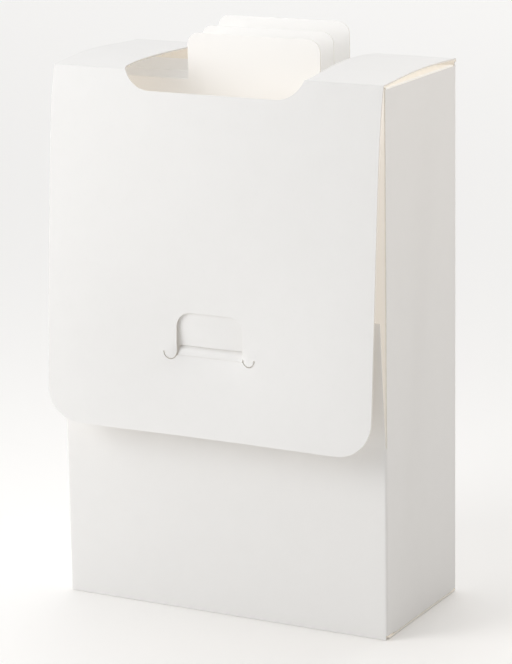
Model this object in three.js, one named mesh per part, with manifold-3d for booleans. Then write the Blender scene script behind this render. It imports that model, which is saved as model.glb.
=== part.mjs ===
// A folding paperboard carton with a hinged lid, a long front flap that locks with a
// tongue, and three tabbed cards inside. Every panel between two creases is its own piece.
// Millimetres, +Z up, the front faces -Y, the origin is the middle of the base.
import * as THREE from 'three';
import { mergeVertices } from 'three/addons/utils/BufferGeometryUtils.js';
import Module from 'manifold-3d';

const wasm = await Module();
wasm.setup();

// Driving dimensions
const WIDTH = 145;
const DEPTH = 66;
const HEIGHT = 220; // base to the lid's front crease
const BOARD = 0.6; // paperboard thickness
const GAP = 0.3; // clearance at every crease and between neighbours
const FOLD = 0.7; // outer radius of a crease; each hinge axis is its centre
const SHY = 0.1; // how far a panel stops short of a crease, on top of its radius

// Openings at the top: one die-cut hole that crosses the lid's two creases
const HOLE_X = -0.4;
const HOLE_HALF = 40.2;
const HOLE_DROP = 8;
const HOLE_RADIUS = 12.5;

// Front wall: a fixed lower part and a flexing gate above it
const GATE_CREASE = 78.6;
const GATE_TOP = 129;
const GATE_EDGE_LEAN = 4.6;
const GATE_BOW = 10.4;
const GATE_BOW_FADE = 0.77;
const SLIT_Z = 112.8;
const SLIT_HEIGHT = 3;
const SLIT_HALF = 14.6;
const GATE_GRID = [10, 6];

// Front flap and its lock
const FLAP_BOTTOM = 77;
const FLAP_RADIUS = 15;
const FLAP_BULGE = 3.2;
const FLAP_BULGE_REACH = 14;
const FLAP_SLOPE = 0.0745;
const FLAP_BOW = 2.2;
const FLAP_BOW_Z = 112;
const FLAP_BOW_REACH = 35;
const FLAP_INSET = 0.2; // the flap is this much narrower than the body on each side
const FLAP_GRID = [14, 10];
const LOCK_BASE = 109.7;
const LOCK_TOP = 126;
const LOCK_HALF = 14.7;
const LOCK_RADIUS = 6;
const HOOK_RADIUS = 2.7;
const HOOK_WIDTH = 0.6;
const TONGUE_PLAY = 0.6; // between each leg of the tongue and its window
const TONGUE_TIP = 0.4;
const TONGUE_STEPS = 16;
// Middle of the tongue's section from just before the slit up: [behind it, above it]
const TONGUE_PATH = [[-0.8, -0.7], [0.5, 0.5], [1.4, 3], [1.5, 7], [1.4, LOCK_TOP - SLIT_Z]];

// Lid strips: how far each edge bows up between the two creases
const BACK_RISE = 1;
const ARCH_OUTER = 2;
const ARCH_INNER_LEFT = 3.8;
const ARCH_INNER_RIGHT = 2.6;
const ARCH_POWER = 0.6;
const STRIP_GRID = [12, 3];

// Dust flaps
const SIDE_TOP = 218;
const TOP_DUST_REACH = 22;
const TOP_DUST_SLOPE = 1.5;
const DUST_CORNER = 2; // how far a dust flap's tip and root are cut back at their corners
const BOTTOM_DUST_REACH = 40;
const BOTTOM_DUST_SLOPE = 1.8;
const BOTTOM_DUST_FRONT = 6.5;

// Bottom closure, seam and side panels
const TUCK_HEIGHT = 15;
const SIDE_BOTTOM = 1.8;
const SEAM_WIDTH = 14.6;
const SEAM_TAPER = 6;
const SEAM_LOW = 8;
const SEAM_HIGH = 205;

// Cards: y of the card's middle, height of the shoulders and of the tab's top edge
const CARD_HALF = 70.5;
const TAB_HALF = 29.5;
const TAB_X = 1.3;
const TAB_TAPER = 0.5;
const TAB_RADIUS = 5;
const CARD_FOOT = 1.8;
const CARDS = [
  { name: 'card_1', y: -3, shoulder: 212, top: 230.8 },
  { name: 'card_2', y: 9, shoulder: 213.2, top: 232.2 },
  { name: 'card_3', y: 23, shoulder: 215.6, top: 234.6 },
];

const FRONT = -DEPTH / 2;
const BACK = DEPTH / 2;
const SIDE = WIDTH / 2;
const INSIDE = SIDE - BOARD - GAP;

const white = (name) =>
  new THREE.MeshStandardMaterial({ name, color: 0xf3f2f0, roughness: 0.55, metalness: 0 });

// ---- solids -------------------------------------------------------------------------

function solid(geometry) {
  const bare = geometry.clone();
  bare.deleteAttribute('normal');
  bare.deleteAttribute('uv');
  const merged = mergeVertices(bare, 1e-4);
  return new wasm.Manifold(
    new wasm.Mesh({
      numProp: 3,
      vertProperties: new Float32Array(merged.attributes.position.array),
      triVerts: new Uint32Array(merged.index.array),
    }),
  );
}

function geometryOf(manifold) {
  const mesh = manifold.getMesh();
  const geometry = new THREE.BufferGeometry();
  geometry.setAttribute('position', new THREE.BufferAttribute(mesh.vertProperties, 3));
  geometry.setIndex(new THREE.BufferAttribute(mesh.triVerts, 1));
  geometry.computeVertexNormals();
  return geometry;
}

// A flat outline given thickness. The outline's own axes become the two axes named in
// `plane`, and the thickness runs up the third axis from `start`.
function slab(outline, plane, start, thickness = BOARD, curveSegments = 6) {
  const geometry = new THREE.ExtrudeGeometry(outline, {
    depth: thickness,
    bevelEnabled: false,
    curveSegments,
  });
  if (plane === 'xy') {
    geometry.translate(0, 0, start);
  }
  if (plane === 'xz') {
    geometry.rotateX(Math.PI / 2);
    geometry.translate(0, start + thickness, 0);
  }
  if (plane === 'yz') {
    geometry.applyMatrix4(new THREE.Matrix4().set(0, 0, 1, 0, 1, 0, 0, 0, 0, 1, 0, 0, 0, 0, 0, 1));
    geometry.translate(start, 0, 0);
  }
  return geometry;
}

function polygon(points) {
  return new THREE.Shape(points.map(([x, y]) => new THREE.Vector2(x, y)));
}

function rectangle(x0, y0, x1, y1) {
  return polygon([[x0, y0], [x1, y0], [x1, y1], [x0, y1]]);
}

// A closed curved sheet: `outer(u, v)` is one face, and `inward` leads to the other.
function curvedSheet(outer, [u0, u1], [v0, v1], [nu, nv], inward) {
  const positions = [];
  const index = [];
  const stride = nv + 1;
  const layer = (nu + 1) * stride;
  for (const side of [0, 1]) {
    for (let i = 0; i <= nu; i += 1) {
      for (let j = 0; j <= nv; j += 1) {
        const point = outer(u0 + ((u1 - u0) * i) / nu, v0 + ((v1 - v0) * j) / nv);
        point.addScaledVector(inward, side);
        positions.push(point.x, point.y, point.z);
      }
    }
  }
  const start = outer(u0, v0);
  const alongU = outer(u1, v0).sub(start);
  const alongV = outer(u0, v1).sub(start);
  const flipped = alongU.cross(alongV).dot(inward) > 0;
  const quad = (a, b, c, d) => {
    const corners = flipped ? [a, c, b, a, d, c] : [a, b, c, a, c, d];
    index.push(...corners);
  };
  for (let i = 0; i < nu; i += 1) {
    for (let j = 0; j < nv; j += 1) {
      const a = i * stride + j;
      quad(a, a + stride, a + stride + 1, a + 1);
      quad(layer + a, layer + a + 1, layer + a + stride + 1, layer + a + stride);
    }
  }
  for (let i = 0; i < nu; i += 1) {
    const a = i * stride;
    quad(a, layer + a, layer + a + stride, a + stride);
    quad(a + nv, a + nv + stride, layer + a + nv + stride, layer + a + nv);
  }
  for (let j = 0; j < nv; j += 1) {
    const b = nu * stride + j;
    quad(j, j + 1, layer + j + 1, layer + j);
    quad(b, layer + b, layer + b + 1, b + 1);
  }
  const geometry = new THREE.BufferGeometry();
  geometry.setAttribute('position', new THREE.Float32BufferAttribute(positions, 3));
  geometry.setIndex(index);
  return geometry;
}

// The hole's lower end, as seen from the front: used by the flap and by the back panel.
function holeOutline() {
  const low = HEIGHT - HOLE_DROP;
  const high = HEIGHT + HOLE_DROP;
  const inner = HOLE_HALF - HOLE_RADIUS;
  const shape = new THREE.Shape();
  shape.moveTo(HOLE_X - HOLE_HALF, high);
  shape.lineTo(HOLE_X - HOLE_HALF, low + HOLE_RADIUS);
  shape.absarc(HOLE_X - inner, low + HOLE_RADIUS, HOLE_RADIUS, Math.PI, 1.5 * Math.PI);
  shape.absarc(HOLE_X + inner, low + HOLE_RADIUS, HOLE_RADIUS, 1.5 * Math.PI, 2 * Math.PI);
  shape.lineTo(HOLE_X + HOLE_HALF, high);
  return shape;
}

function through(outline) {
  return solid(slab(outline, 'xz', -2 * DEPTH, 4 * DEPTH, 8));
}

// ---- body ---------------------------------------------------------------------------

function backPanel() {
  const low = 2 * BOARD + SHY;
  const top = HEIGHT + BACK_RISE - 3 * FOLD; // leaves room for the bowed strips as they lie back
  const panel = solid(slab(rectangle(-SIDE, low, SIDE, top), 'xz', BACK - BOARD));
  return geometryOf(panel.subtract(through(holeOutline())));
}

function sidePanel(sign) {
  const front = FRONT + BOARD + GAP;
  const back = BACK - BOARD - GAP;
  const outline = rectangle(front, SIDE_BOTTOM, back, SIDE_TOP);
  const start = sign > 0 ? SIDE - BOARD : -SIDE;
  return slab(outline, 'yz', start);
}

function frontPanel() {
  return slab(rectangle(-SIDE, 0, SIDE, GATE_CREASE - GAP), 'xz', FRONT);
}

// Outer face of the gate: its edges lean forward, and its middle is drawn out further.
function gateFace(x, z) {
  const t = (z - GATE_CREASE) / (GATE_TOP - GATE_CREASE);
  const middle = Math.cos((Math.PI * x) / WIDTH) ** 2;
  const bow = GATE_BOW * t * (1 - GATE_BOW_FADE * t) * middle;
  return new THREE.Vector3(x, FRONT - GATE_EDGE_LEAN * t - bow, z);
}

function frontGate() {
  const low = GATE_CREASE + GAP;
  const inward = new THREE.Vector3(0, BOARD, 0);
  const sheet = curvedSheet(gateFace, [-SIDE, SIDE], [low, GATE_TOP], GATE_GRID, inward);
  const slit = rectangle(-SLIT_HALF, SLIT_Z - SLIT_HEIGHT / 2, SLIT_HALF, SLIT_Z + SLIT_HEIGHT / 2);
  return geometryOf(solid(sheet).subtract(through(slit)));
}

// The seam that closes the sleeve: it turns in from the left side panel's rear edge.
function glueFlap() {
  const root = -INSIDE;
  const tip = root + SEAM_WIDTH;
  const outline = polygon([
    [root, SEAM_LOW],
    [tip, SEAM_LOW + SEAM_TAPER],
    [tip, SEAM_HIGH - SEAM_TAPER],
    [root, SEAM_HIGH],
  ]);
  return slab(outline, 'xz', BACK - 2 * BOARD - GAP);
}

// ---- bottom closure -----------------------------------------------------------------

function bottomPanel() {
  const front = FRONT + BOARD + GAP + FOLD + SHY;
  const back = BACK - FOLD;
  return slab(rectangle(-SIDE + GAP, front, SIDE - GAP, back), 'xy', 0);
}

function bottomTuckFlap() {
  const low = FOLD + SHY;
  const half = INSIDE - GAP;
  const shape = new THREE.Shape();
  shape.moveTo(-half, low);
  shape.lineTo(half, low);
  shape.lineTo(half, low + TUCK_HEIGHT / 2);
  shape.quadraticCurveTo(half, low + TUCK_HEIGHT, half - TUCK_HEIGHT / 2, low + TUCK_HEIGHT);
  shape.lineTo(-half + TUCK_HEIGHT / 2, low + TUCK_HEIGHT);
  shape.quadraticCurveTo(-half, low + TUCK_HEIGHT, -half, low + TUCK_HEIGHT / 2);
  return slab(shape, 'xz', FRONT + BOARD + GAP);
}

// A flap that folds in from a side panel. Its rear edge slants away from the back crease.
function dustFlap(sign, reach, slope, front, z) {
  const root = INSIDE;
  const back = BACK - BOARD - GAP - DUST_CORNER;
  const tip = root - reach;
  const outline = polygon(
    [
      [root, front],
      [tip, front + DUST_CORNER],
      [tip, back - reach / slope],
      [root, back],
    ].map(([x, y]) => [sign * x, y]),
  );
  return slab(outline, 'xy', z);
}

function bottomDustFlap(sign) {
  const front = FRONT + BOTTOM_DUST_FRONT;
  return dustFlap(sign, BOTTOM_DUST_REACH, BOTTOM_DUST_SLOPE, front, BOARD + GAP);
}

// ---- lid ----------------------------------------------------------------------------

function topDustFlap(sign) {
  const front = FRONT + 2 * BOARD + GAP;
  return dustFlap(sign, TOP_DUST_REACH, TOP_DUST_SLOPE, front, SIDE_TOP + GAP);
}

// One of the two strips that join the back panel to the front flap over the top.
function lidStrip(outerX, innerX, innerArch) {
  const front = FRONT + 2 * FOLD + SHY;
  const back = BACK - FOLD;
  const face = (y, x) => {
    const t = (y - FRONT) / DEPTH;
    const across = (x - outerX) / (innerX - outerX);
    const arch = ARCH_OUTER + (innerArch - ARCH_OUTER) * across;
    const swell = Math.max(0, 4 * t * (1 - t)) ** ARCH_POWER;
    return new THREE.Vector3(x, y, HEIGHT + BACK_RISE * t + arch * swell);
  };
  const inward = new THREE.Vector3(0, 0, -BOARD);
  const low = Math.min(outerX, innerX);
  const high = Math.max(outerX, innerX);
  return curvedSheet(face, [back, front], [low, high], STRIP_GRID, inward);
}

// Outer face of the front flap: it springs away from the crease, then slopes outwards,
// with its middle drawn in by the lock.
function flapFace(x, z) {
  const down = Math.max(0, HEIGHT - FOLD - z);
  const bulge = FLAP_BULGE * (1 - Math.exp(-down / FLAP_BULGE_REACH));
  const middle = Math.cos((Math.PI * x) / WIDTH) ** 2;
  const drawn = FLAP_BOW * middle * Math.exp(-(((z - FLAP_BOW_Z) / FLAP_BOW_REACH) ** 2));
  return new THREE.Vector3(x, FRONT - bulge - FLAP_SLOPE * down + drawn, z);
}

function flapOutline(half, top) {
  const shape = new THREE.Shape();
  const low = FLAP_BOTTOM + FLAP_RADIUS;
  shape.moveTo(-half, top);
  shape.lineTo(-half, low);
  shape.absarc(-half + FLAP_RADIUS, low, FLAP_RADIUS, Math.PI, 1.5 * Math.PI);
  shape.absarc(half - FLAP_RADIUS, low, FLAP_RADIUS, 1.5 * Math.PI, 2 * Math.PI);
  shape.lineTo(half, top);
  return shape;
}

// The lock's window is an arch with straight legs, open above the tongue's crease.
function archOutline(half, low, high, radius) {
  const shape = new THREE.Shape();
  shape.moveTo(-half, low);
  shape.lineTo(half, low);
  shape.absarc(half - radius, high - radius, radius, 0, Math.PI / 2);
  shape.absarc(-half + radius, high - radius, radius, Math.PI / 2, Math.PI);
  return shape;
}

// The cut ends in a half ring that turns outwards, so that the board doesn't tear.
function hookOutline(sign) {
  const centre = sign * (LOCK_HALF + HOOK_RADIUS);
  const z = LOCK_BASE;
  const outer = HOOK_RADIUS + HOOK_WIDTH / 2;
  const inner = HOOK_RADIUS - HOOK_WIDTH / 2;
  const shape = new THREE.Shape();
  shape.absarc(centre, z, outer, Math.PI, 2 * Math.PI);
  shape.absarc(centre, z, inner, 2 * Math.PI, Math.PI, true);
  return shape;
}

function lidFrontFlap() {
  const top = HEIGHT - FOLD - SHY;
  const inward = new THREE.Vector3(0, BOARD, 0);
  const face = (z, x) => flapFace(x, z);
  const half = SIDE - FLAP_INSET;
  const sheet = solid(curvedSheet(face, [FLAP_BOTTOM - 1, top], [-SIDE, SIDE], FLAP_GRID, inward));
  return geometryOf(
    sheet
      .intersect(through(flapOutline(half, top + 1)))
      .subtract(through(holeOutline()))
      .subtract(through(archOutline(LOCK_HALF, LOCK_BASE, LOCK_TOP, LOCK_RADIUS)))
      .subtract(through(hookOutline(1)))
      .subtract(through(hookOutline(-1))),
  );
}

// The tongue leans in from its crease, passes the slit and lies up behind the gate.
function lockTongue() {
  const half = LOCK_HALF - TONGUE_PLAY;
  const start = flapFace(0, LOCK_BASE).y + BOARD / 2;
  const slit = gateFace(0, SLIT_Z).y + BOARD / 2;
  const path = new THREE.CatmullRomCurve3([
    new THREE.Vector3(0, start, LOCK_BASE + GAP),
    new THREE.Vector3(0, (start + slit - 1) / 2, (LOCK_BASE + SLIT_Z + 1) / 2),
    ...TONGUE_PATH.map(([behind, above]) => new THREE.Vector3(0, slit + behind, SLIT_Z + above)),
  ]);
  const outer = [];
  const inner = [];
  for (let i = 0; i <= TONGUE_STEPS; i += 1) {
    const point = path.getPoint(i / TONGUE_STEPS);
    const along = path.getTangent(i / TONGUE_STEPS);
    outer.push([point.y - (along.z * BOARD) / 2, point.z + (along.y * BOARD) / 2]);
    inner.push([point.y + (along.z * BOARD) / 2, point.z - (along.y * BOARD) / 2]);
  }
  const strip = slab(polygon([...outer, ...inner.reverse()]), 'yz', -half, 2 * half);
  const end = archOutline(half, LOCK_BASE - 1, LOCK_TOP - TONGUE_TIP, LOCK_RADIUS);
  return geometryOf(solid(strip).intersect(through(end)));
}

// ---- cards --------------------------------------------------------------------------

function card({ y, shoulder, top }) {
  const left = TAB_X - TAB_HALF;
  const right = TAB_X + TAB_HALF;
  const shape = new THREE.Shape();
  shape.moveTo(-CARD_HALF, CARD_FOOT);
  shape.lineTo(CARD_HALF, CARD_FOOT);
  shape.lineTo(CARD_HALF, shoulder);
  shape.lineTo(right, shoulder);
  shape.lineTo(right - TAB_TAPER, top - TAB_RADIUS);
  shape.quadraticCurveTo(right - TAB_TAPER, top, right - TAB_TAPER - TAB_RADIUS, top);
  shape.lineTo(left + TAB_TAPER + TAB_RADIUS, top);
  shape.quadraticCurveTo(left + TAB_TAPER, top, left + TAB_TAPER, top - TAB_RADIUS);
  shape.lineTo(left, shoulder);
  shape.lineTo(-CARD_HALF, shoulder);
  return slab(shape, 'xz', y - BOARD / 2);
}

// ---- assembly -----------------------------------------------------------------------

const carton = new THREE.Group();

function add(name, geometry) {
  const mesh = new THREE.Mesh(geometry, white(name));
  mesh.name = name;
  carton.add(mesh);
}

add('back_panel', backPanel());
add('left_side_panel', sidePanel(-1));
add('right_side_panel', sidePanel(1));
add('front_panel', frontPanel());
add('front_gate', frontGate());
add('glue_flap', glueFlap());
add('bottom_panel', bottomPanel());
add('bottom_tuck_flap', bottomTuckFlap());
add('bottom_left_dust_flap', bottomDustFlap(-1));
add('bottom_right_dust_flap', bottomDustFlap(1));
add('top_left_dust_flap', topDustFlap(-1));
add('top_right_dust_flap', topDustFlap(1));
add('lid_left_strip', lidStrip(-SIDE, HOLE_X - HOLE_HALF, ARCH_INNER_LEFT));
add('lid_right_strip', lidStrip(SIDE, HOLE_X + HOLE_HALF, ARCH_INNER_RIGHT));
add('lid_front_flap', lidFrontFlap());
add('lock_tongue', lockTongue());
for (const one of CARDS) {
  add(one.name, card(one));
}

export default carton;
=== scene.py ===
import math

import bmesh
import bpy
from mathutils import Matrix, Vector


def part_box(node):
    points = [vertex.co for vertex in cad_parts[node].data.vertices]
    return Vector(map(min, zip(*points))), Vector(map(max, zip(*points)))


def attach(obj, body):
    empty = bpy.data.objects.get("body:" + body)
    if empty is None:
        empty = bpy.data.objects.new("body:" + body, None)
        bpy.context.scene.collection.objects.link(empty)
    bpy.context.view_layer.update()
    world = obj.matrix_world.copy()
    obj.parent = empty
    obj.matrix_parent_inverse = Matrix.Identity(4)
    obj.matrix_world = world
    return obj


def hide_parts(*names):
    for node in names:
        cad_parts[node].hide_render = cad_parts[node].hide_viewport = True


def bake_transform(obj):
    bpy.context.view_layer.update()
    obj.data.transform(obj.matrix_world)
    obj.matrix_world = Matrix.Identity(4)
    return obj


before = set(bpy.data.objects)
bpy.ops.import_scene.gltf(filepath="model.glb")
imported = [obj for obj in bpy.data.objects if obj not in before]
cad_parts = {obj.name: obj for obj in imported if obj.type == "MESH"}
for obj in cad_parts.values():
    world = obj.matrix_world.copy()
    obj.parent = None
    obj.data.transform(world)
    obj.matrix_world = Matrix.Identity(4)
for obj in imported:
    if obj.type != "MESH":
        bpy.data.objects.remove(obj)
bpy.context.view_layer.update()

# ---- Studio ---------------------------------------------------------------------------
# A pale table, seen through a long lens from the front right. A key lamp stands at the left
# of the front and a small warm one on the right, and a third lights the table behind. The
# walls are dim on the right and in front, and bright everywhere else.

MM = 0.001
front_low, front_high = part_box("front_panel")
back_low, back_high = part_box("back_panel")
FRONT = front_low.y
BACK = back_high.y
SIDE = front_high.x

camera = bpy.data.objects.new("camera", bpy.data.cameras.new("camera"))
bpy.context.scene.collection.objects.link(camera)
bpy.context.scene.camera = camera
azimuth = math.radians(28.1)
elevation = math.radians(14.01)
roll = math.radians(-0.97)
target = Vector((16.39 * MM, FRONT, 119.23 * MM))
distance = 1133.6 * MM
level = math.cos(elevation)
away = Vector((math.sin(azimuth) * level, -math.cos(azimuth) * level, math.sin(elevation)))
across = Vector((math.cos(azimuth), math.sin(azimuth), 0))
above = away.cross(across)
columns = (
    across * math.cos(roll) + above * math.sin(roll),
    above * math.cos(roll) - across * math.sin(roll),
    away,
)
camera.rotation_mode = "QUATERNION"
camera.rotation_quaternion = Matrix(columns).transposed().to_quaternion()
camera.location = target + away * distance
camera.data.sensor_width = 36
camera.data.lens = 157.07
camera.data.clip_start = 0.01
camera.data.clip_end = 50


def softbox(name, place, aim, size, watts, tint=(1, 1, 1)):
    lamp = bpy.data.objects.new(name, bpy.data.lights.new(name, "AREA"))
    bpy.context.scene.collection.objects.link(lamp)
    lamp.location = place
    lamp.rotation_mode = "QUATERNION"
    lamp.rotation_quaternion = (Vector(aim) - Vector(place)).to_track_quat("-Z", "Y")
    lamp.data.shape = "RECTANGLE"
    lamp.data.size = size[0]
    lamp.data.size_y = size[1]
    lamp.data.energy = watts
    lamp.data.color = tint


softbox("key_softbox", (-0.38, -0.42, 0.37), (0, 0, 0.14), (0.35, 0.35), 1.35)
softbox("right_softbox", (0.34, 0, 0.31), (SIDE, 0, 0.19), (0.2, 0.2), 0.24, (1, 0.92, 0.83))
softbox("backdrop_softbox", (-0.3, 2.6, 1.9), (-0.5, 2.4, 0), (3, 3), 17)

world = bpy.data.worlds.new("studio_walls")
world.use_nodes = True
walls = world.node_tree
look = walls.nodes.new("ShaderNodeTexCoord")
dim_way = walls.nodes.new("ShaderNodeVectorMath")
dim_way.operation = "DOT_PRODUCT"
dim_way.inputs[1].default_value = (0.8, -0.35, -0.36)
brightness = walls.nodes.new("ShaderNodeMapRange")
brightness.inputs["From Min"].default_value = -0.4
brightness.inputs["From Max"].default_value = 0.8
brightness.inputs["To Min"].default_value = 0.96
brightness.inputs["To Max"].default_value = 0.0
walls.links.new(look.outputs["Generated"], dim_way.inputs[0])
walls.links.new(dim_way.outputs["Value"], brightness.inputs["Value"])
walls.links.new(brightness.outputs["Result"], walls.nodes["Background"].inputs["Strength"])
walls.nodes["Background"].inputs["Color"].default_value = (1, 1, 1, 1)
bpy.context.scene.world = world
bpy.context.scene.view_settings.view_transform = "Standard"

bpy.ops.object.select_all(action="DESELECT")
TABLE_SIZE = 12
TABLE_DROP = 0.1 * MM  # keeps the table clear of the carton's foot
bpy.ops.mesh.primitive_plane_add(size=TABLE_SIZE, location=(0, 0, -TABLE_DROP))
table_top = bpy.context.object
table_top.name = "table_top"
table_paint = bpy.data.materials.new("pale_table_paint")
table_paint.use_nodes = True
table_shader = table_paint.node_tree.nodes["Principled BSDF"]
table_shader.inputs["Base Color"].default_value = (0.96, 0.95, 0.935, 1)
table_shader.inputs["Roughness"].default_value = 0.8
table_top.data.materials.append(table_paint)

# ---- Front panel ----------------------------------------------------------------------
# The lower front wall of the sleeve. It is white coated board, printed side out, creased
# round both front corners and cut square along the foot.

BOARD = 0.6 * MM
CORNER = 1.0 * MM  # outer radius of the sleeve's upright creases
RETURN = 2.5 * MM  # how far a panel's board runs on round a corner
FOOT_NOTCH = 1.8 * MM
DIE_REACH = 5 * MM  # how far a die stands out in front of the board and behind it
NEAR = 0.1 * MM  # a point this close to a line counts as on it
EASED = 0.07 * MM  # how much a cut edge is rounded
SHARP = math.radians(60)  # an edge that turns more than this is a cut edge
FINE_CUT = 0.001 * MM  # how close a point must be to a dividing cut to count as on it


def board_finish(name, colour, shade, mottle_size, roughness, grain, grain_depth, fleck, painted_glow=0):
    """Paperboard: a slow mottle between two tones, small flecks of fibre and a fine tooth.
    The last argument paints light: the board emits its own colour at that strength, in place of light
    soaking through it from the other side."""
    finish = bpy.data.materials.new(name)
    finish.use_nodes = True
    nodes = finish.node_tree.nodes
    links = finish.node_tree.links
    shader = nodes["Principled BSDF"]
    shader.inputs["Roughness"].default_value = roughness
    shader.inputs["Specular IOR Level"].default_value = 0.35
    place = nodes.new("ShaderNodeTexCoord")
    cloud = nodes.new("ShaderNodeTexNoise")
    cloud.inputs["Scale"].default_value = 1 / mottle_size
    cloud.inputs["Detail"].default_value = 5
    links.new(place.outputs["Object"], cloud.inputs["Vector"])
    tone = nodes.new("ShaderNodeMix")
    tone.data_type = "RGBA"
    tone.inputs["A"].default_value = (*colour, 1)
    tone.inputs["B"].default_value = (*shade, 1)
    links.new(cloud.outputs["Fac"], tone.inputs["Factor"])
    fibre = nodes.new("ShaderNodeTexNoise")
    fibre.inputs["Scale"].default_value = 1 / (grain * 2.2)
    fibre.inputs["Detail"].default_value = 2
    stretch = nodes.new("ShaderNodeMapping")
    stretch.inputs["Scale"].default_value = (1, 1, 0.35)
    links.new(place.outputs["Object"], stretch.inputs["Vector"])
    links.new(stretch.outputs["Vector"], fibre.inputs["Vector"])
    few = nodes.new("ShaderNodeMapRange")
    few.inputs["From Min"].default_value = 0.62
    few.inputs["From Max"].default_value = 0.74
    few.inputs["To Max"].default_value = fleck
    links.new(fibre.outputs["Fac"], few.inputs["Value"])
    flecked = nodes.new("ShaderNodeMix")
    flecked.data_type = "RGBA"
    flecked.inputs["B"].default_value = (*[0.72 * part for part in shade], 1)
    links.new(few.outputs["Result"], flecked.inputs["Factor"])
    links.new(tone.outputs["Result"], flecked.inputs["A"])
    links.new(flecked.outputs["Result"], shader.inputs["Base Color"])
    # Painted glow: the board's own colour is also emitted, so it stays lit in shade with no lamp.
    links.new(flecked.outputs["Result"], shader.inputs["Emission Color"])
    shader.inputs["Emission Strength"].default_value = painted_glow
    tooth = nodes.new("ShaderNodeTexNoise")
    tooth.inputs["Scale"].default_value = 1 / grain
    tooth.inputs["Detail"].default_value = 4
    links.new(stretch.outputs["Vector"], tooth.inputs["Vector"])
    relief = nodes.new("ShaderNodeBump")
    relief.inputs["Strength"].default_value = 1
    relief.inputs["Distance"].default_value = grain_depth
    links.new(tooth.outputs["Fac"], relief.inputs["Height"])
    links.new(relief.outputs["Normal"], shader.inputs["Normal"])
    return finish


coated_face = board_finish(
    "white_coated_face", (0.87, 0.862, 0.85), (0.85, 0.842, 0.828), 9 * MM, 0.5,
    0.3 * MM, 0.006 * MM, 0.05,
)
# The cream back carries painted glow: it emits its own colour, which lights up the inside of the
# carton in place of light let through the board.
cream_back = board_finish(
    "cream_board_back", (0.93, 0.885, 0.82), (0.9, 0.85, 0.78), 3 * MM, 0.88,
    0.24 * MM, 0.02 * MM, 0.35, 0.16,
)
# The cut edge has a faint painted glow as well.
cut_edge = board_finish(
    "cut_board_edge", (0.88, 0.86, 0.82), (0.83, 0.805, 0.765), 0.4 * MM, 0.92,
    0.1 * MM, 0.03 * MM, 0.4, 0.03,
)
# A lit copy of the coated face for the top dust flaps. It is warmer and carries painted glow, so that
# the flaps read bright where they lie in shade under the lid.
painted_glow_face = board_finish(
    "painted_glow_coated_face", (0.87, 0.85, 0.81), (0.85, 0.825, 0.78), 9 * MM, 0.5,
    0.3 * MM, 0.006 * MM, 0.05, 0.25,
)
board_faces = (coated_face, cream_back, cut_edge)
painted_glow_faces = (painted_glow_face, cream_back, cut_edge)

# How a flat grid is turned to face each way, the two directions it then spans, and the
# direction that its printed side looks in.
FACINGS = {
    "front": ((90, 0, 0), "xz", Vector((0, -1, 0))),
    "back": ((-90, 0, 0), "xz", Vector((0, 1, 0))),
    "right": ((0, 90, 0), "zy", Vector((1, 0, 0))),
    "left": ((0, -90, 0), "zy", Vector((-1, 0, 0))),
    "up": ((0, 0, 0), "xy", Vector((0, 0, 1))),
    "down": ((180, 0, 0), "xy", Vector((0, 0, -1))),
}


def flat_sheet(name, facing, low, high, cell=2.5 * MM, thickness=BOARD):
    """A flat board between two corners of its printed side, which faces that way."""
    turn, spans, outward = FACINGS[facing]
    size = [getattr(Vector(high) - Vector(low), axis) for axis in spans]
    bpy.ops.object.select_all(action="DESELECT")
    bpy.ops.mesh.primitive_grid_add(
        x_subdivisions=max(1, round(size[0] / cell)),
        y_subdivisions=max(1, round(size[1] / cell)),
        size=1,
        location=(Vector(high) + Vector(low)) / 2,
        rotation=[math.radians(angle) for angle in turn],
    )
    sheet = bpy.context.object
    sheet.name = name
    sheet.data.name = name
    sheet.scale = (size[0], size[1], 1)
    bpy.ops.object.transform_apply(location=True, rotation=True, scale=True)
    bpy.ops.object.mode_set(mode="EDIT")
    bpy.ops.mesh.extrude_region_move(TRANSFORM_OT_translate={"value": -thickness * outward})
    bpy.ops.mesh.select_all(action="SELECT")
    bpy.ops.mesh.normals_make_consistent(inside=False)
    bpy.ops.object.mode_set(mode="OBJECT")
    return sheet


def work_on(piece):
    bpy.ops.object.select_all(action="DESELECT")
    piece.select_set(True)
    bpy.context.view_layer.objects.active = piece


def choose(piece, kind, wanted):
    """In edit mode, selects only the points, edges or faces that `wanted` says."""
    bpy.ops.mesh.select_mode(type=kind)
    bpy.ops.mesh.select_all(action="DESELECT")
    shape = bmesh.from_edit_mesh(piece.data)
    parts = {"VERT": shape.verts, "EDGE": shape.edges, "FACE": shape.faces}[kind]
    for part in parts:
        if wanted(part):
            part.select_set(True)
    shape.select_flush_mode()
    bmesh.update_edit_mesh(piece.data)


def axis_of(letter):
    return Vector([float(one == letter) for one in "xyz"])


def score(sheet, axis, start, end, count):
    """Adds rows of points across a board where it is going to bend."""
    work_on(sheet)
    bpy.ops.object.mode_set(mode="EDIT")
    for row in range(count + 1):
        bpy.ops.mesh.select_all(action="SELECT")
        middle = axis_of(axis) * (start + (end - start) * row / count)
        bpy.ops.mesh.bisect(plane_co=middle, plane_no=axis_of(axis), threshold=FINE_CUT)
    bpy.ops.object.mode_set(mode="OBJECT")


def trim(sheet, point, outward):
    """Cuts a board along a straight line and drops what lies outside it."""
    work_on(sheet)
    bpy.ops.object.mode_set(mode="EDIT")
    bpy.ops.mesh.select_all(action="SELECT")
    bpy.ops.mesh.bisect(
        plane_co=point, plane_no=Vector(outward).normalized(), threshold=FINE_CUT,
        clear_outer=True, use_fill=True,
    )
    bpy.ops.object.mode_set(mode="OBJECT")


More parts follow.
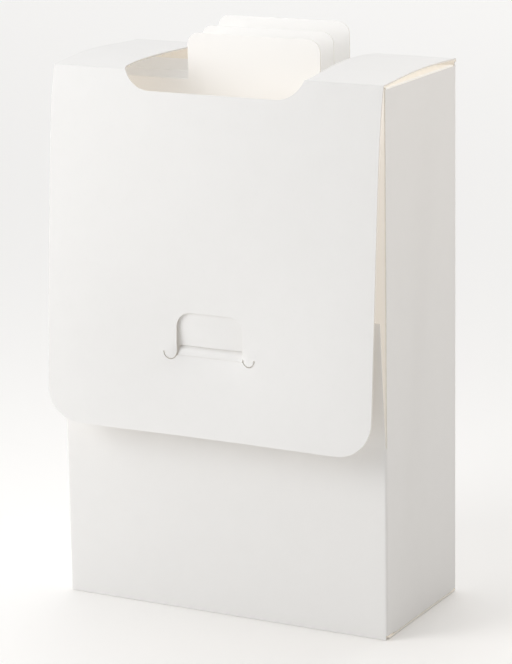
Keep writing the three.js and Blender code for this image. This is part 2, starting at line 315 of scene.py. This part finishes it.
def punch(low, high, axis, radius=0, rounded=None, steps=16):
    """A die that goes through a board along an axis. `rounded` says which corners are round."""
    low = Vector(low)
    high = Vector(high)
    bpy.ops.object.select_all(action="DESELECT")
    bpy.ops.mesh.primitive_cube_add(size=1, location=(low + high) / 2)
    die = bpy.context.object
    die.scale = high - low
    bpy.ops.object.transform_apply(location=True, rotation=True, scale=True)
    if radius:
        round_off(die, axis, radius, rounded, steps)
    return die


def round_off(die, axis, radius, rounded, steps=16):
    """Rounds a die's corners, where `rounded` says so of the middle of a corner's edge."""

    def corner(edge):
        start, end = (vertex.co for vertex in edge.verts)
        along = abs((end - start).normalized().dot(axis_of(axis))) > 0.99
        return along and rounded((start + end) / 2)

    work_on(die)
    bpy.ops.object.mode_set(mode="EDIT")
    choose(die, "EDGE", corner)
    bpy.ops.mesh.bevel(offset=radius, segments=steps, affect="EDGES", clamp_overlap=False)
    bpy.ops.object.mode_set(mode="OBJECT")


def die_cut(sheet, die, operation="DIFFERENCE"):
    work_on(sheet)
    bpy.ops.object.modifier_add(type="BOOLEAN")
    cut = sheet.modifiers[-1]
    cut.object = die
    cut.operation = operation
    cut.solver = "EXACT"
    bpy.ops.object.modifier_apply(modifier=cut.name)
    bpy.data.objects.remove(die)


def make_up(sheet, facing, faces, place=None, joined=None, probe=0.05 * MM):
    """Finishes a cut board. Its two sides and its cut edge get their own faces, `place` takes
    each point of its printed side to where it is on the made-up carton, and the cut edges are
    eased, but not where the board runs on into the next panel."""
    outward = FACINGS[facing][2]
    for face in faces:
        sheet.data.materials.append(face)
    for side in sheet.data.polygons:
        turned = round(side.normal.dot(outward))  # 1 printed side, -1 back, 0 cut edge
        side.material_index = {1: 0, -1: 1}.get(turned, 2)
    if place:
        printed = max(vertex.co.dot(outward) for vertex in sheet.data.vertices)
        first = Vector([abs(part) for part in outward.yzx])
        second = Vector([abs(part) for part in outward.zxy])
        hand = first.cross(second).dot(outward)
        for vertex in sheet.data.vertices:
            depth = printed - vertex.co.dot(outward)
            spot = vertex.co + outward * depth
            slope = [place(spot + way * probe) - place(spot - way * probe) for way in (first, second)]
            vertex.co = place(spot) - slope[0].cross(slope[1]).normalized() * hand * depth
        sheet.data.update()

    def cut(edge):
        if len(edge.link_faces) != 2 or edge.calc_face_angle() < SHARP:
            return False
        middle = (edge.verts[0].co + edge.verts[1].co) / 2
        return joined is None or not joined(middle)

    work_on(sheet)
    bpy.ops.object.mode_set(mode="EDIT")
    choose(sheet, "EDGE", cut)
    bpy.ops.mesh.bevel(offset=EASED, segments=2, affect="EDGES", clamp_overlap=False)
    bpy.ops.object.mode_set(mode="OBJECT")
    bpy.ops.object.shade_smooth_by_angle(angle=math.radians(20))


def round_corner(distance, corner, radius):
    """A right-angled crease: how far a point is along the first panel, then down the next."""
    start = corner - radius
    if distance <= start:
        return distance, 0
    angle = (distance - start) / radius
    if angle <= math.pi / 2:
        return start + radius * math.sin(angle), radius * (1 - math.cos(angle))
    return corner, radius + distance - start - radius * math.pi / 2


def flat_reach(radius, beyond):
    """How far past a corner the flat board goes, for `beyond` of it to lie down the next panel."""
    return beyond - 2 * radius + radius * math.pi / 2


front_reach = SIDE + flat_reach(CORNER, RETURN)
front_panel = flat_sheet(
    "front_panel_board", "front",
    (-front_reach, FRONT, front_low.z), (front_reach, FRONT, front_high.z),
)
for hand in (-1, 1):
    ends = sorted((hand * (SIDE - CORNER), hand * (SIDE - CORNER + CORNER * math.pi / 2)))
    score(front_panel, "x", ends[0], ends[1], 10)
    ends = sorted((hand * (SIDE - CORNER / 2), hand * (SIDE + RETURN)))
    die_cut(front_panel, punch(
        (ends[0], FRONT - RETURN, -RETURN), (ends[1], FRONT + RETURN, FOOT_NOTCH), "y",
    ))


def front_place(point):
    along, down = round_corner(abs(point.x), SIDE, CORNER)
    return Vector((math.copysign(along, point.x), FRONT + down, point.z))


make_up(front_panel, "front", board_faces, front_place, joined=lambda point: (
    point.z > front_high.z - NEAR or point.y > FRONT + RETURN - NEAR
))
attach(front_panel, "sleeve")
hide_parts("front_panel")

# ---- Front gate -----------------------------------------------------------------------
# The upper front wall, cut free of the sides and creased across the front. The lock pulls
# its middle forward, so it stands bowed, with a slit for the lock's tongue.

GATE_CREASE = 78.6 * MM
GATE_TOP = 129 * MM
GATE_LEAN = 4.6 * MM
GATE_BOW = 10.4 * MM
GATE_BOW_FADE = 0.77
SLIT_Z = 111.6 * MM
SLIT_HALF = 14.6 * MM
SLIT_HEIGHT = 1.6 * MM
gate_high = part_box("front_gate")[1]
GATE_HALF = SIDE - 0.3 * MM


def gate_face(x, z):
    share = max(0, (z - GATE_CREASE) / (GATE_TOP - GATE_CREASE))
    middle = math.cos(math.pi * x / (2 * SIDE)) ** 2
    bow = GATE_BOW * share * (1 - GATE_BOW_FADE * share) * middle
    return Vector((x, FRONT - GATE_LEAN * share - bow, z))


gate = flat_sheet(
    "front_gate_board", "front",
    (-GATE_HALF, FRONT, front_high.z), (GATE_HALF, FRONT, gate_high.z),
)
score(gate, "z", front_high.z, GATE_CREASE + 1.2 * MM, 4)
die_cut(gate, punch(
    (-GATE_HALF - RETURN, FRONT - RETURN, 0), (GATE_HALF + RETURN, FRONT + RETURN, gate_high.z),
    "y", 3 * MM, lambda corner: corner.z > GATE_CREASE,
), "INTERSECT")
die_cut(gate, punch(
    (-SLIT_HALF, FRONT - RETURN, SLIT_Z - SLIT_HEIGHT / 2),
    (SLIT_HALF, FRONT + RETURN, SLIT_Z + SLIT_HEIGHT / 2),
    "y", 0.7 * MM, lambda corner: True, 8,
))
make_up(
    gate, "front", board_faces, lambda point: gate_face(point.x, point.z),
    joined=lambda point: point.z < front_high.z + NEAR,
)
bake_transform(gate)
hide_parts("front_gate")

# ---- Side panels and glue flap --------------------------------------------------------
# The two plain side walls. The left one turns in at its rear edge to a long glue flap,
# which is stuck to the inside of the back panel and closes the sleeve.

side_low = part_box("right_side_panel")[0]
SIDE_TOP = 218.2 * MM
SEAM_FACE = BACK - BOARD - 0.3 * MM
seam_low, seam_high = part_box("glue_flap")
SIDE_WAVE = 1.3 * MM
RIDGE_TOP = 0.66  # how far back the ridge is at the top, as a share of the depth
RIDGE_LEAN = 0.42  # how much further forward it is at the foot
RIDGE_WIDTH = 0.04


def side_wave(y, z):
    """Board is never quite flat: a slow swell, with one soft ridge that leans forward."""
    depth = min(1, max(0, (y - FRONT) / (BACK - FRONT)))
    height = min(1, max(0, z / SIDE_TOP))
    ridge = RIDGE_TOP - RIDGE_LEAN * (1 - height)
    ramp = 1 / (1 + math.exp(-(depth - ridge) / RIDGE_WIDTH))
    fade = math.sin(math.pi * depth) * (4 * height * (1 - height)) ** 0.6
    return SIDE_WAVE * fade * (ramp - 0.5)


right_side = flat_sheet(
    "right_side_board", "right",
    (SIDE, side_low.y, side_low.z), (SIDE, BACK - RETURN, SIDE_TOP),
)
die_cut(right_side, punch(
    (SIDE - RETURN, FRONT - RETURN, -RETURN),
    (SIDE + RETURN, FRONT + RETURN, front_high.z), "x",
))


def right_place(point):
    return point + Vector((side_wave(point.y, point.z), 0, 0))


make_up(right_side, "right", board_faces, right_place, joined=lambda point: (
    point.y > BACK - RETURN - NEAR
    or point.z > SIDE_TOP - NEAR
    or point.z < side_low.z + NEAR
    or (point.y < FRONT + RETURN + NEAR and point.z < front_high.z + NEAR)
))
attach(right_side, "sleeve")
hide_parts("right_side_panel")

left_reach = SEAM_FACE + flat_reach(CORNER, RETURN)
left_side = flat_sheet(
    "left_side_board", "left",
    (-SIDE, side_low.y, side_low.z), (-SIDE, left_reach, SIDE_TOP),
)
score(left_side, "y", SEAM_FACE - CORNER, SEAM_FACE - CORNER + CORNER * math.pi / 2, 10)
die_cut(left_side, punch(
    (-SIDE - RETURN, FRONT - RETURN, -RETURN),
    (-SIDE + RETURN, FRONT + RETURN, front_high.z), "x",
))
for end_low, end_high in ((0, seam_low.z), (seam_high.z, SIDE_TOP + RETURN)):
    die_cut(left_side, punch(
        (-SIDE - RETURN, SEAM_FACE - CORNER / 2, end_low),
        (-SIDE + RETURN, SEAM_FACE + RETURN, end_high), "x",
    ))


def left_place(point):
    along, down = round_corner(point.y, SEAM_FACE, CORNER)
    return Vector((-SIDE + down, along, point.z))


make_up(left_side, "left", board_faces, left_place, joined=lambda point: (
    point.x > -SIDE + RETURN - NEAR
    or point.z > SIDE_TOP - NEAR
    or point.z < side_low.z + NEAR
    or (point.y < FRONT + RETURN + NEAR and point.z < front_high.z + NEAR)
))
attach(left_side, "sleeve")
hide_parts("left_side_panel")

glue_flap = flat_sheet(
    "glue_flap_board", "back",
    (-SIDE + RETURN, SEAM_FACE, seam_low.z), (seam_high.x, SEAM_FACE, seam_high.z),
)
for end, hand in ((seam_low.z, -1), (seam_high.z, 1)):
    trim(glue_flap, (-SIDE + RETURN, SEAM_FACE, end), (0.4, 0, hand))
make_up(glue_flap, "back", board_faces, joined=lambda point: (
    point.x < -SIDE + RETURN + NEAR
))
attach(glue_flap, "sleeve")
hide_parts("glue_flap")

# ---- Back panel -----------------------------------------------------------------------
# The rear wall. It is creased round the right rear corner, ends in a cut edge over the
# seam on the left, and carries the rear half of the hole that the cards show through.

HOLE_X = -0.4 * MM
HOLE_HALF = 40.2 * MM
HOLE_BOTTOM = 212 * MM
HOLE_RADIUS = 12.5 * MM
LID_BACK = 221 * MM
STRIP_RETURN = 1.5 * MM


def hole_die(y):
    return punch(
        (HOLE_X - HOLE_HALF, y - DIE_REACH, HOLE_BOTTOM),
        (HOLE_X + HOLE_HALF, y + DIE_REACH, HOLE_BOTTOM + 40 * MM),
        "y", HOLE_RADIUS, lambda corner: corner.z < HOLE_BOTTOM + MM, 24,
    )


back_reach = SIDE + flat_reach(CORNER, RETURN)
back_top = LID_BACK - STRIP_RETURN
back_panel = flat_sheet(
    "back_panel_board", "back",
    (-SIDE + 0.3 * MM, BACK, back_low.z), (back_reach, BACK, back_top),
)
score(back_panel, "x", SIDE - CORNER, SIDE - CORNER + CORNER * math.pi / 2, 10)
die_cut(back_panel, hole_die(BACK))
for end_low, end_high in ((0, FOOT_NOTCH), (SIDE_TOP, back_top + RETURN)):
    die_cut(back_panel, punch(
        (SIDE - CORNER / 2, BACK - RETURN, end_low),
        (SIDE + 2 * RETURN, BACK + RETURN, end_high), "y",
    ))


def back_place(point):
    along, down = round_corner(point.x, SIDE, CORNER)
    return Vector((along, BACK - down, point.z))


make_up(back_panel, "back", board_faces, back_place, joined=lambda point: (
    point.y < BACK - RETURN + NEAR
    or point.z > back_top - NEAR
    or point.z < back_low.z + NEAR
))
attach(back_panel, "sleeve")
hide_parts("back_panel")

# ---- Bottom closure -------------------------------------------------------------------
# The bottom is hinged on the back panel's foot and tucks in behind the front panel. Two
# dust flaps, creased on the side panels, lie on top of it inside.

CREASE = 0.7 * MM  # outer radius of a crease that works as a hinge
floor_low, floor_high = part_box("bottom_panel")
tuck_low, tuck_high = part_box("bottom_tuck_flap")
TUCK_RETURN = 1.5 * MM

bottom_panel = flat_sheet(
    "bottom_board", "down",
    (floor_low.x, tuck_low.y + TUCK_RETURN, 0),
    (floor_high.x, BACK + flat_reach(CREASE, back_low.z), 0),
)
score(bottom_panel, "y", BACK - CREASE, BACK - CREASE + CREASE * math.pi / 2, 8)


def bottom_place(point):
    along, up = round_corner(point.y, BACK, CREASE)
    return Vector((point.x, along, up))


make_up(bottom_panel, "down", board_faces, bottom_place, joined=lambda point: (
    point.z > back_low.z - NEAR or point.y < tuck_low.y + TUCK_RETURN + NEAR
))
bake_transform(bottom_panel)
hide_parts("bottom_panel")

tuck_drop = flat_reach(CREASE, TUCK_RETURN)
tuck_flap = flat_sheet(
    "bottom_tuck_board", "front",
    (tuck_low.x, tuck_low.y, -tuck_drop), (tuck_high.x, tuck_low.y, tuck_high.z),
)
score(tuck_flap, "z", CREASE - CREASE * math.pi / 2, CREASE, 8)
die_cut(tuck_flap, punch(
    (tuck_low.x, tuck_low.y - RETURN, -tuck_high.z),
    (tuck_high.x, tuck_low.y + RETURN, tuck_high.z),
    "y", 7.5 * MM, lambda corner: corner.z > 0,
), "INTERSECT")


def tuck_place(point):
    along, inward = round_corner(-point.z, 0, CREASE)
    return Vector((point.x, tuck_low.y + inward, -along))


make_up(tuck_flap, "front", board_faces, tuck_place, joined=lambda point: (
    point.y > tuck_low.y + TUCK_RETURN - NEAR
))
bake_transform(tuck_flap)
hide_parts("bottom_tuck_flap")


def dust_flap(name, node, hand, facing, face_z, edge_z, setback, faces):
    """A flap folded in from a side panel. `edge_z` is where the side panel's board ends."""
    low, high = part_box(node)
    upward = 1 if facing == "up" else -1
    tip = min(abs(low.x), abs(high.x))
    reach = SIDE + flat_reach(CREASE, abs(edge_z - face_z))
    ends = sorted((hand * tip, hand * reach))
    flap = flat_sheet(name, facing, (ends[0], low.y, face_z), (ends[1], high.y, face_z))
    crease = sorted((hand * (SIDE - CREASE), hand * (SIDE - CREASE + CREASE * math.pi / 2)))
    score(flap, "x", crease[0], crease[1], 8)
    trim(flap, (hand * tip, low.y + 2 * MM, 0), (hand * 2 * MM * -1, -(SIDE - tip), 0))
    trim(flap, (hand * tip, high.y - setback, 0), (hand * setback * -1, SIDE - tip, 0))

    def place(point):
        along, down = round_corner(abs(point.x), SIDE, CREASE)
        return Vector((hand * along, point.y, face_z - upward * down))

    make_up(flap, facing, faces, place, joined=lambda point: (
        abs(point.z - edge_z) < NEAR
    ))
    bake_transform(flap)
    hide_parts(node)
    return flap


for side_name, hand in (("left", -1), ("right", 1)):
    node = f"bottom_{side_name}_dust_flap"
    dust_flap(
        f"{node}_board", node,
        hand, "down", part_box(node)[0].z, side_low.z, setback=22.2 * MM, faces=board_faces,
    )

# ---- Top dust flaps -------------------------------------------------------------------
# Short flaps creased on the top edges of the side panels. They close the gaps between the
# bowed lid and the sides, and keep the cards in their pocket.

# Their printed side takes the lit copy of the coated face, with its painted glow and warmer painted
# light.
for side_name, hand in (("left", -1), ("right", 1)):
    node = f"top_{side_name}_dust_flap"
    dust_flap(
        f"{node}_board", node,
        hand, "up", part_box(node)[1].z, SIDE_TOP, setback=17.3 * MM, faces=painted_glow_faces,
    )

# ---- Lid strips -----------------------------------------------------------------------
# Two strips left on either side of the hole join the back panel to the front flap. The
# board is a little too long for the top, so both stand in a low arch.

LID_FRONT = 220 * MM
# The left strip and the right one, at the outer edge and then at the hole: how high the arch
# is, how far back its crown lies, and how slowly it rises.
ARCHES = {
    -1: ((1.6 * MM, 0.43, 1.5), (1.4 * MM, 0.3, 0.6)),
    1: ((1.2 * MM, 0.5, 1.2), (2.5 * MM, 0.55, 1.2)),
}
FLAP_RETURN = 2.0 * MM  # how far the front flap's board runs on over the top
EASE = 0.5 * MM  # half the width of a rounded crease


def strip_face(x, y):
    depth = min(1, max(0, (y - FRONT) / (BACK - FRONT)))
    hand = 1 if x > 0 else -1
    inner = abs(HOLE_X + hand * HOLE_HALF)
    across_strip = (SIDE - abs(x)) / (SIDE - inner)
    height, crown, slow = (
        at_edge + (at_hole - at_edge) * across_strip for at_edge, at_hole in zip(*ARCHES[hand])
    )
    fall = slow * (1 - crown) / crown
    arch = height * (depth / crown) ** slow * ((1 - depth) / (1 - crown)) ** fall
    return Vector((x, y, LID_FRONT + (LID_BACK - LID_FRONT) * depth + arch))


def ease(before, crest, after, share):
    """A point on the rounded crease between two panels that meet in the line `crest`."""
    return before.lerp(crest, share).lerp(crest.lerp(after, share), share)


def strip_place(point):
    beyond = point.y - BACK
    if beyond <= -EASE:
        return strip_face(point.x, point.y)
    if beyond >= EASE:
        return Vector((point.x, BACK, LID_BACK - beyond))
    before = strip_face(point.x, BACK - EASE)
    crest = Vector((point.x, BACK, LID_BACK))
    after = Vector((point.x, BACK, LID_BACK - EASE))
    return ease(before, crest, after, (beyond + EASE) / (2 * EASE))


for side_name, hand in (("left", -1), ("right", 1)):
    ends = sorted((hand * SIDE, HOLE_X + hand * HOLE_HALF))
    strip = flat_sheet(
        f"lid_{side_name}_strip_board", "up",
        (ends[0], FRONT + FLAP_RETURN, LID_FRONT), (ends[1], BACK + STRIP_RETURN, LID_FRONT),
    )
    score(strip, "y", BACK - EASE, BACK + EASE, 10)
    score(strip, "y", FRONT + FLAP_RETURN, FRONT + 4 * FLAP_RETURN, 6)
    make_up(strip, "up", board_faces, strip_place, joined=lambda point: (
        point.y < FRONT + FLAP_RETURN + NEAR or point.z < LID_BACK - STRIP_RETURN + NEAR
    ))
    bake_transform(strip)
    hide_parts(f"lid_{side_name}_strip")

# ---- Front flap -----------------------------------------------------------------------
# The long flap that hangs from the lid down over the front. It springs away from its
# crease, has two round lower corners, the front half of the hole, and the lock's window.

FLAP_HALF = SIDE - 0.2 * MM
FLAP_BOTTOM = 77 * MM
FLAP_CORNER = 15 * MM
FLAP_BULGE = 3.2 * MM
FLAP_BULGE_REACH = 14 * MM
FLAP_SLOPE = 0.0745
FLAP_DRAWN = 2.9 * MM
FLAP_DRAWN_Z = 112 * MM
FLAP_DRAWN_REACH = 35 * MM
LOCK_BASE = 109.7 * MM
TONGUE_FOOT = LOCK_BASE - 1.2 * MM
LOCK_TOP = 126 * MM
LOCK_HALF = 14.7 * MM
LOCK_CORNER = 6 * MM
HOOK_RADIUS = 2.7 * MM
HOOK_WIDTH = 0.4 * MM
LOCK_PULL = 1.3 * MM  # how far the tongue's root is drawn in


def flap_face(x, z):
    down = LID_FRONT - z
    bulge = FLAP_BULGE * (1 - math.exp(-down / FLAP_BULGE_REACH))
    middle = math.cos(math.pi * x / (2 * SIDE)) ** 2
    drawn = FLAP_DRAWN * middle * math.exp(-(((z - FLAP_DRAWN_Z) / FLAP_DRAWN_REACH) ** 2))
    below = max(0, LOCK_BASE - z)
    reach = 8 * MM if below else 3 * MM
    between_legs = 1 / (1 + math.exp((abs(x) - LOCK_HALF) / (0.9 * MM + below * 0.7)))
    pulled = LOCK_PULL * between_legs * math.exp(-(((z - LOCK_BASE) / reach) ** 2))
    return Vector((x, FRONT - bulge - FLAP_SLOPE * down + drawn + pulled, z))


def flap_place(point):
    above_crease = point.z - LID_FRONT
    if above_crease >= EASE:
        return strip_face(point.x, FRONT + above_crease)
    if above_crease <= -EASE:
        return flap_face(point.x, point.z)
    before = strip_face(point.x, FRONT + EASE)
    crest = Vector((point.x, FRONT, LID_FRONT))
    after = flap_face(point.x, LID_FRONT - EASE)
    return ease(before, crest, after, (EASE - above_crease) / (2 * EASE))


def hook_die(hand):
    """A thin slit that turns outwards and up in half a circle, with a round end."""
    middle = Vector((hand * (LOCK_HALF + HOOK_RADIUS), FRONT, LOCK_BASE))
    dies = []
    for radius, depth, at in (
        (HOOK_RADIUS + HOOK_WIDTH / 2, 10 * MM, middle),
        (HOOK_RADIUS - HOOK_WIDTH / 2, 12 * MM, middle),
        (HOOK_WIDTH * 0.8, 10 * MM, middle + Vector((hand * HOOK_RADIUS, 0, 0))),
    ):
        bpy.ops.object.select_all(action="DESELECT")
        bpy.ops.mesh.primitive_cylinder_add(
            vertices=48, radius=radius, depth=depth, location=at,
            rotation=(math.radians(90), 0, 0),
        )
        bpy.ops.object.transform_apply(location=True, rotation=True, scale=True)
        dies.append(bpy.context.object)
    ring, core, end = dies
    die_cut(ring, core)
    trim(ring, middle, (0, 0, 1))
    die_cut(ring, end, "UNION")
    return ring


front_flap = flat_sheet(
    "front_flap_board", "front",
    (-FLAP_HALF - MM, FRONT, FLAP_BOTTOM - MM), (FLAP_HALF + MM, FRONT, LID_FRONT + FLAP_RETURN),
)
score(front_flap, "z", LID_FRONT - EASE, LID_FRONT + EASE, 10)
score(front_flap, "z", LID_FRONT + EASE, LID_FRONT + FLAP_RETURN, 3)
score(front_flap, "z", LID_FRONT - 6 * MM, LID_FRONT - EASE, 5)
score(front_flap, "z", LOCK_BASE - 16 * MM, LOCK_BASE + 4 * MM, 20)
for hand in (-1, 1):
    ends = sorted((hand * (LOCK_HALF - 5 * MM), hand * (LOCK_HALF + 5 * MM)))
    score(front_flap, "x", ends[0], ends[1], 12)
die_cut(front_flap, punch(
    (-FLAP_HALF, FRONT - DIE_REACH, FLAP_BOTTOM), (FLAP_HALF, FRONT + DIE_REACH, LID_FRONT + 20 * MM),
    "y", FLAP_CORNER, lambda corner: corner.z < LOCK_BASE, 28,
), "INTERSECT")
die_cut(front_flap, hole_die(FRONT))
die_cut(front_flap, punch(
    (-LOCK_HALF, FRONT - DIE_REACH, TONGUE_FOOT), (LOCK_HALF, FRONT + DIE_REACH, LOCK_TOP),
    "y", LOCK_CORNER, lambda corner: corner.z > LOCK_BASE + MM,
))
for hand in (-1, 1):
    die_cut(front_flap, hook_die(hand))
make_up(front_flap, "front", board_faces, flap_place, joined=lambda point: (
    point.y > FRONT + FLAP_RETURN - NEAR
))
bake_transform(front_flap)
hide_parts("lid_front_flap")

# ---- Lock tongue ----------------------------------------------------------------------
# The piece cut out of the front flap, still joined along its foot. It leans in, passes
# through the gate's slit and stands up behind the gate, which holds the flap closed.

TONGUE_HALF = LOCK_HALF - 0.35 * MM
TONGUE_TIP = LOCK_TOP - 0.4 * MM
slit_y = gate_face(0, SLIT_Z).y
foot_y = flap_face(0, TONGUE_FOOT).y
root_y = flap_face(0, LOCK_BASE).y
TONGUE_LINE = [
    Vector((foot_y, TONGUE_FOOT)),
    Vector((root_y, LOCK_BASE)),
    Vector((slit_y - 0.3 * MM, SLIT_Z - 0.5 * MM)),
    Vector((slit_y + 0.8 * MM, SLIT_Z + 0.7 * MM)),
    Vector((slit_y + 1.5 * MM, SLIT_Z + 3.5 * MM)),
    Vector((slit_y + 1.6 * MM, SLIT_Z + 7.5 * MM)),
    Vector((slit_y + 1.4 * MM, LOCK_TOP)),
]


def along_line(line, share):
    """A smooth curve through the points of a line, at a share of the way along it."""
    spot = share * (len(line) - 1)
    first = min(int(spot), len(line) - 2)
    part = spot - first
    before = line[max(first - 1, 0)]
    start = line[first]
    end = line[first + 1]
    after = line[min(first + 2, len(line) - 1)]
    return (
        start * 2
        + (end - before) * part
        + (before * 2 - start * 5 + end * 4 - after) * part ** 2
        + (start * 3 - before - end * 3 + after) * part ** 3
    ) / 2


def tongue_place(point):
    share = (point.z - TONGUE_FOOT) / (LOCK_TOP - TONGUE_FOOT)
    spot = along_line(TONGUE_LINE, min(1, max(0, share)))
    bowed = flap_face(point.x, min(point.z, LOCK_BASE)).y - flap_face(0, min(point.z, LOCK_BASE)).y
    return Vector((point.x, spot.x + bowed * max(0, 1 - 3 * share), spot.y))


tongue = flat_sheet(
    "lock_tongue_board", "front",
    (-TONGUE_HALF - MM, FRONT, TONGUE_FOOT), (TONGUE_HALF + MM, FRONT, TONGUE_TIP + MM),
    cell=0.6 * MM,
)
die_cut(tongue, punch(
    (-TONGUE_HALF, FRONT - DIE_REACH, LOCK_BASE - MM), (TONGUE_HALF, FRONT + DIE_REACH, TONGUE_TIP),
    "y", LOCK_CORNER, lambda corner: corner.z > LOCK_BASE + MM,
), "INTERSECT")
make_up(tongue, "front", board_faces, tongue_place, joined=lambda point: (
    point.z < TONGUE_FOOT + 0.2 * MM
))
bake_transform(tongue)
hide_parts("lock_tongue")

# ---- Cards ----------------------------------------------------------------------------
# Three loose index cards, cut from smooth white card with one wide round-cornered tab
# each. They stand behind one another, and each is a little taller than the one before.

# Both finishes of the card carry painted glow: they emit their own colour, which lights the cards in
# the shade inside the carton.
card_face = board_finish(
    "smooth_white_card", (0.925, 0.92, 0.91), (0.9, 0.893, 0.88), 12 * MM, 0.55,
    0.26 * MM, 0.005 * MM, 0.04, 0.13,
)
card_edge = board_finish(
    "cut_card_edge", (0.91, 0.9, 0.88), (0.86, 0.845, 0.82), 0.4 * MM, 0.9,
    0.1 * MM, 0.02 * MM, 0.25, 0.1,
)
TAB_LEFT = -28.2 * MM
TAB_RIGHT = 30.8 * MM
TAB_CORNER = 5 * MM
SHOULDERS = {"card_1": 212 * MM, "card_2": 213.2 * MM, "card_3": 215.6 * MM}
CARD_BODIES = {"card_1": "first_card", "card_2": "second_card", "card_3": "third_card"}


def card_die(low, high, shoulder):
    """The card's outline as a die: the body, with the tab drawn up out of its top face."""
    die = punch((low.x, low.y - DIE_REACH, low.z), (high.x, high.y + DIE_REACH, shoulder), "y")
    for place in (TAB_LEFT, TAB_RIGHT):
        score(die, "x", place, place, 1)
    work_on(die)
    bpy.ops.object.mode_set(mode="EDIT")
    choose(die, "FACE", lambda face: (
        face.normal.z > 0.9 and TAB_LEFT < face.calc_center_median().x < TAB_RIGHT
    ))
    bpy.ops.mesh.extrude_region_move(TRANSFORM_OT_translate={"value": (0, 0, high.z - shoulder)})
    bpy.ops.object.mode_set(mode="OBJECT")
    round_off(die, "y", TAB_CORNER, lambda corner: corner.z > high.z - MM)
    round_off(die, "y", 1.5 * MM, lambda corner: (
        abs(corner.x) > high.x - MM and (corner.z > shoulder - MM or corner.z < low.z + MM)
    ), 6)
    return die


for name, shoulder in SHOULDERS.items():
    low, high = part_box(name)
    card = flat_sheet(
        f"{name}_sheet", "front", (low.x - MM, low.y, low.z - MM), (high.x + MM, low.y, high.z + MM),
        thickness=high.y - low.y,
    )
    die_cut(card, card_die(low, high, shoulder), "INTERSECT")
    make_up(card, "front", (card_face, card_face, card_edge))
    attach(card, CARD_BODIES[name])
    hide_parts(name)
